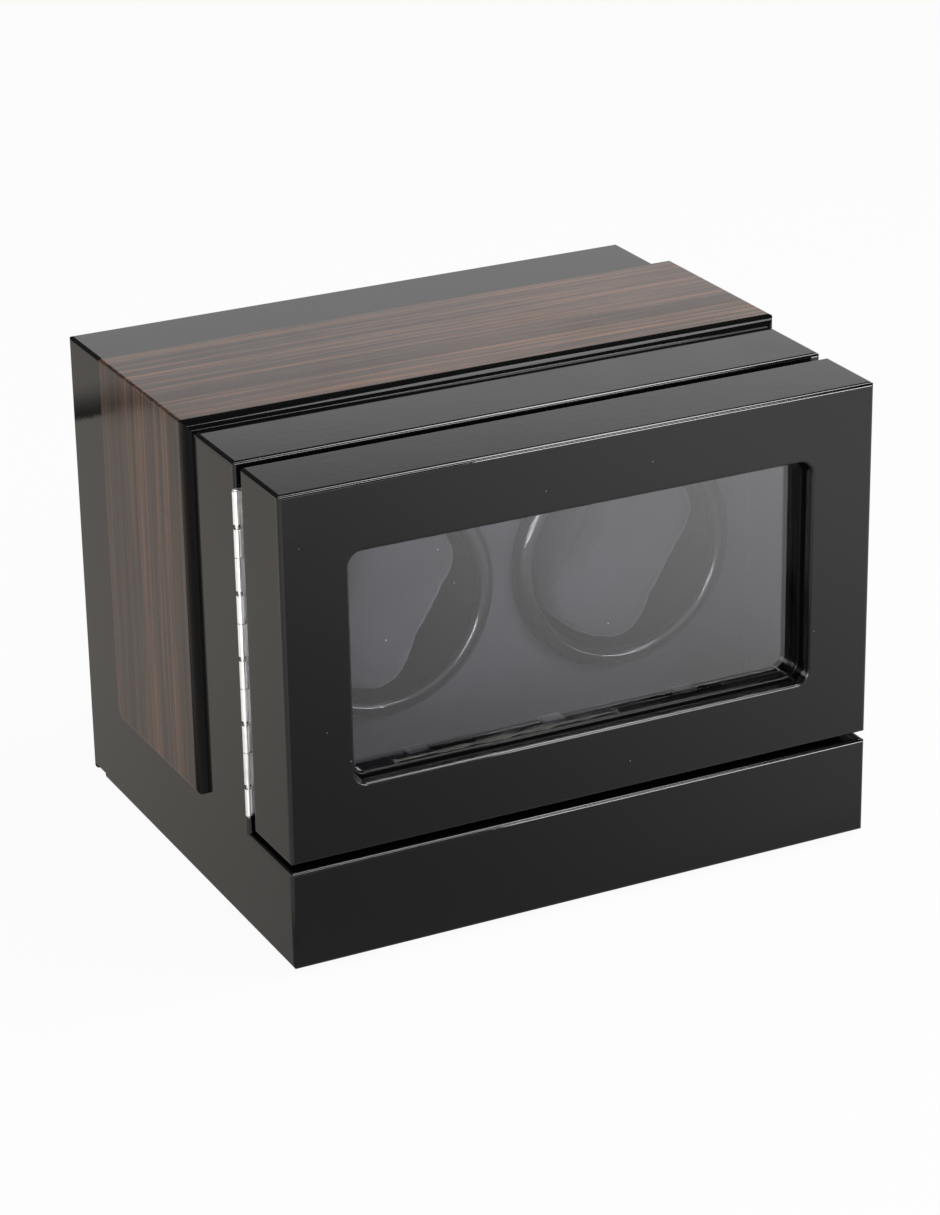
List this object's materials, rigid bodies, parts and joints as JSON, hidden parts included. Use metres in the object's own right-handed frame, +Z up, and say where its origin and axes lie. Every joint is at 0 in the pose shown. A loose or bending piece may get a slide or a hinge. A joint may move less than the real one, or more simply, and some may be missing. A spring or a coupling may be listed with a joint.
{
  "type": "watch winder box",
  "caption": "Lacquered watch winder box with a glazed side-hung door, a raised veneer band and geared cups that turn cushioned wristwatches.",
  "frame": {"origin": "middle of the box's footprint, at the underside of the feet", "axes": "+X to the right seen from the front, +Y from the door to the rear, +Z up"},
  "size_m": [0.236, 0.188, 0.1805],
  "materials": {
    "black_lacquer": "deep black polished lacquer on fibreboard",
    "ebony_veneer": "streaked dark ebony veneer under clear lacquer",
    "grey_suede": "short-napped grey lining cloth on board",
    "grey_cushion": "soft grey leatherette",
    "black_gloss_plastic": "polished black plastic",
    "black_satin_plastic": "satin black plastic",
    "clear_glass": "clear float glass",
    "bright_nickel": "bright nickel plate",
    "zinc_steel": "zinc-plated steel",
    "ground_steel": "ground steel",
    "motor_can": "drawn and plated steel can",
    "turned_brass": "turned brass",
    "white_nylon": "natural moulded nylon",
    "pale_wood": "bare sawn wood and plywood",
    "black_board": "fibreboard with a matt black face",
    "black_rubber": "moulded rubber",
    "green_board": "green solder mask with black and metal components",
    "black_matte_plastic": "fine-textured black plastic",
    "red_plastic": "glossy dark red plastic"
  },
  "bodies": {
    "case": {"case_shell": "black_lacquer", "veneer_band": "ebony_veneer", "band_nose": "black_lacquer", "inner_lining": "grey_suede", "cup_panel": "grey_suede", "side_cleats": "pale_wood", "carrier_board": "pale_wood", "carrier_screws": "zinc_steel", "corner_blocks": "pale_wood", "rear_cover": "black_board", "rear_cover_screws": "zinc_steel", "base_board": "black_board", "feet": "black_rubber", "foot_screws": "zinc_steel", "case_hinge_leaf": "bright_nickel", "case_hinge_screws": "bright_nickel", "hinge_pin": "bright_nickel", "catch_magnets": "bright_nickel", "circuit_board": "green_board", "circuit_board_spacers": "white_nylon", "circuit_board_screws": "zinc_steel", "power_inlet": "black_matte_plastic", "power_inlet_nut": "bright_nickel", "power_switch": "black_matte_plastic", "left_mode_switch": "black_matte_plastic", "right_mode_switch": "black_matte_plastic", "cup_bushes": "turned_brass", "plate_pillars": "turned_brass", "plate_screws": "zinc_steel", "left_motor_plate": "zinc_steel", "right_motor_plate": "zinc_steel", "left_motor": "motor_can", "right_motor": "motor_can"},
    "door": {"door_frame": "black_lacquer", "door_glass": "clear_glass", "glazing_bead": "black_lacquer", "glass_retainer": "black_lacquer", "retainer_clips": "zinc_steel", "retainer_screws": "zinc_steel", "door_hinge_leaf": "bright_nickel", "door_hinge_screws": "bright_nickel", "door_keepers": "zinc_steel"},
    "left_rotor": {"left_cup": "black_satin_plastic", "left_cup_rim": "black_gloss_plastic", "left_cup_shaft": "ground_steel", "left_cup_gear": "white_nylon"},
    "left_drive": {"left_motor_shaft": "ground_steel", "left_motor_pinion": "white_nylon"},
    "left_cushion": {"left_cushion": "grey_cushion"},
    "left_knob": {"left_mode_knob": "black_matte_plastic"},
    "right_rotor": {"right_cup": "black_satin_plastic", "right_cup_rim": "black_gloss_plastic", "right_cup_shaft": "ground_steel", "right_cup_gear": "white_nylon"},
    "right_drive": {"right_motor_shaft": "ground_steel", "right_motor_pinion": "white_nylon"},
    "right_cushion": {"right_cushion": "grey_cushion"},
    "right_knob": {"right_mode_knob": "black_matte_plastic"},
    "rocker": {"power_rocker": "red_plastic"}
  },
  "joints": [
    {"name": "door_swing", "type": "hinge", "parent": "case", "child": "door", "pos_m": [-0.115, -0.05905, 0.1099], "axis": [0, 0, -1], "range_deg": [0, 165]},
    {"name": "left_cup_turn", "type": "hinge", "parent": "case", "child": "left_rotor", "pos_m": [-0.0488, -0.0323, 0.1035], "axis": [0, 1, 0], "continuous": true},
    {"name": "left_drive_turn", "type": "hinge", "parent": "case", "child": "left_drive", "pos_m": [-0.0488, -0.0323, 0.0735], "axis": [0, 1, 0], "continuous": true},
    {"name": "left_cushion_pull", "type": "slide", "parent": "left_rotor", "child": "left_cushion", "axis": [0, -1, 0], "range_m": [0, 0.028]},
    {"name": "left_mode_turn", "type": "hinge", "parent": "case", "child": "left_knob", "pos_m": [-0.032, 0.086, 0.1275], "axis": [0, 1, 0], "range_deg": [-45, 45]},
    {"name": "right_cup_turn", "type": "hinge", "parent": "case", "child": "right_rotor", "pos_m": [0.0488, -0.0323, 0.1035], "axis": [0, 1, 0], "continuous": true},
    {"name": "right_drive_turn", "type": "hinge", "parent": "case", "child": "right_drive", "pos_m": [0.0488, -0.0323, 0.0735], "axis": [0, 1, 0], "continuous": true},
    {"name": "right_cushion_pull", "type": "slide", "parent": "right_rotor", "child": "right_cushion", "axis": [0, -1, 0], "range_m": [0, 0.028]},
    {"name": "right_mode_turn", "type": "hinge", "parent": "case", "child": "right_knob", "pos_m": [0.032, 0.086, 0.1275], "axis": [0, 1, 0], "range_deg": [-45, 45]},
    {"name": "power_press", "type": "hinge", "parent": "case", "child": "rocker", "pos_m": [0, 0.0857, 0.1275], "axis": [0, 0, -1], "range_deg": [0, 16]}
  ],
  "couplings": [
    {"joint": "left_drive_turn", "follows": "left_cup_turn", "ratio": -3},
    {"joint": "right_drive_turn", "follows": "right_cup_turn", "ratio": -3}
  ]
}
